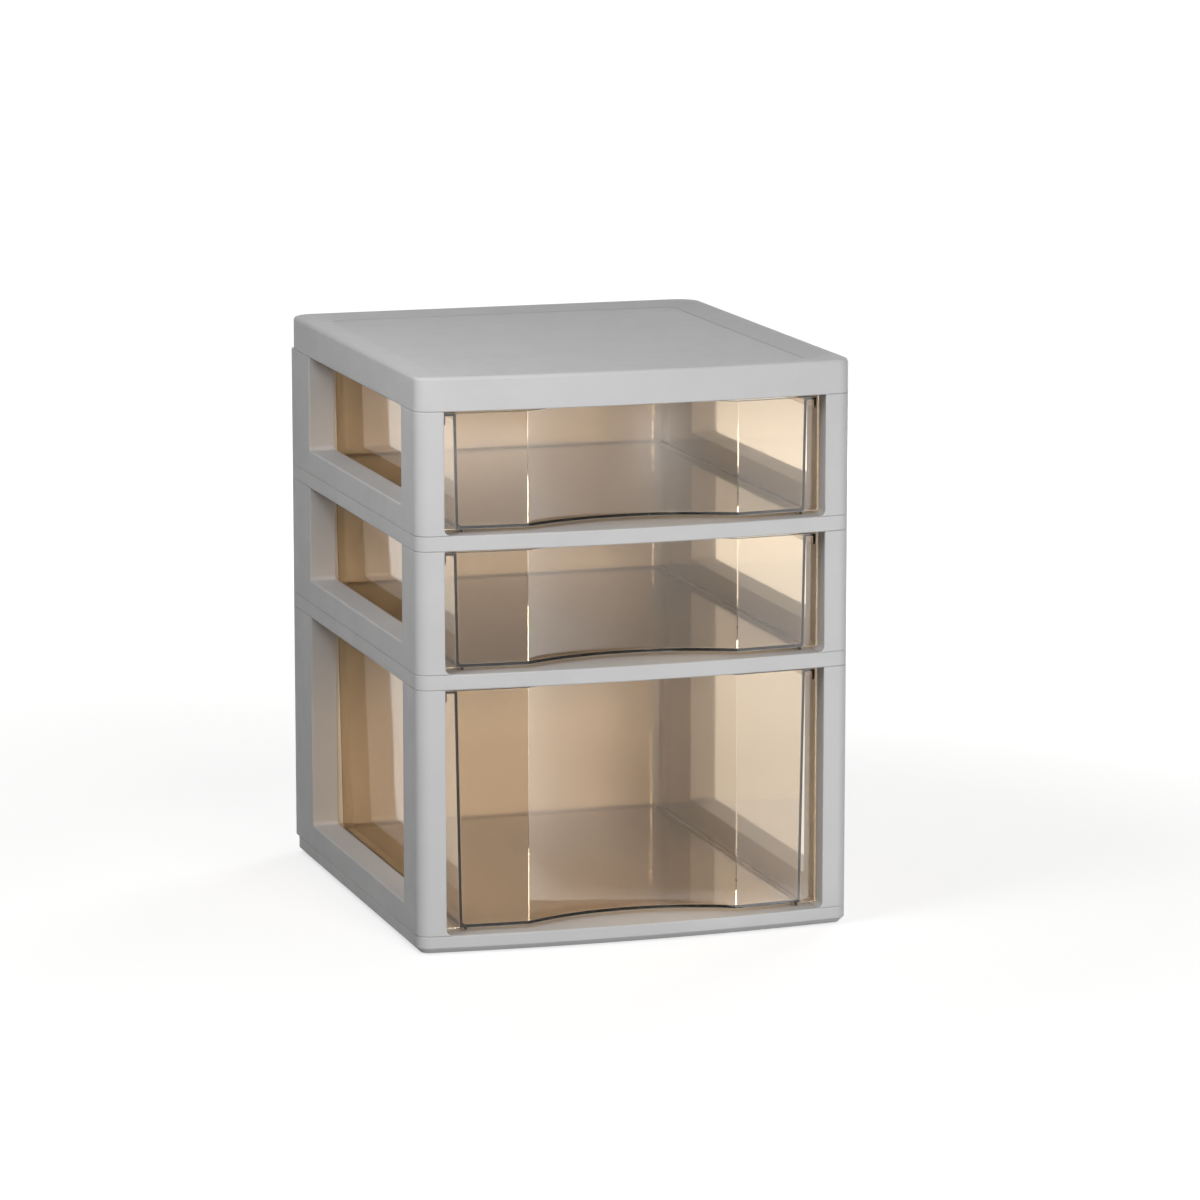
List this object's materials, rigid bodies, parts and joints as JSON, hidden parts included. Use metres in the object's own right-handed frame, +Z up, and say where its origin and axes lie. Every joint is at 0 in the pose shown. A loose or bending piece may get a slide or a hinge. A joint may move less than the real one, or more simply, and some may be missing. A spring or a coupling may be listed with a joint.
{
  "type": "desktop drawer organizer",
  "caption": "Light grey moulded desk organizer with open side windows, a shallow dished top and tinted see-through drawers with scooped fronts that slide out for papers and small items.",
  "frame": {"origin": "middle of the footprint, on the surface that the foot pads stand on", "axes": "+X to the right, -Y to the front (the drawers open that way), +Z up"},
  "size_m": [0.32, 0.3614, 0.41],
  "materials": {
    "grey_shell": "satin moulded polypropylene, light neutral grey",
    "tea_clear": "clear polystyrene with a light tea tint, glossy",
    "foot_rubber": "matt anti-slip pad"
  },
  "bodies": {
    "cabinet": {"top_panel": "grey_shell", "upper_shelf": "grey_shell", "lower_shelf": "grey_shell", "base_panel": "grey_shell", "upper_left_side": "grey_shell", "upper_right_side": "grey_shell", "middle_left_side": "grey_shell", "middle_right_side": "grey_shell", "lower_left_side": "grey_shell", "lower_right_side": "grey_shell", "upper_back": "grey_shell", "middle_back": "grey_shell", "lower_back": "grey_shell", "front_left_foot": "foot_rubber", "front_right_foot": "foot_rubber", "rear_left_foot": "foot_rubber", "rear_right_foot": "foot_rubber"},
    "upper_drawer": {"upper_drawer": "tea_clear"},
    "middle_drawer": {"middle_drawer": "tea_clear"},
    "lower_drawer": {"lower_drawer": "tea_clear"}
  },
  "joints": [
    {"name": "upper_drawer_slide", "type": "slide", "parent": "cabinet", "child": "upper_drawer", "axis": [0, -1, 0], "range_m": [0, 0.24]},
    {"name": "middle_drawer_slide", "type": "slide", "parent": "cabinet", "child": "middle_drawer", "axis": [0, -1, 0], "range_m": [0, 0.24]},
    {"name": "lower_drawer_slide", "type": "slide", "parent": "cabinet", "child": "lower_drawer", "axis": [0, -1, 0], "range_m": [0, 0.24]}
  ]
}
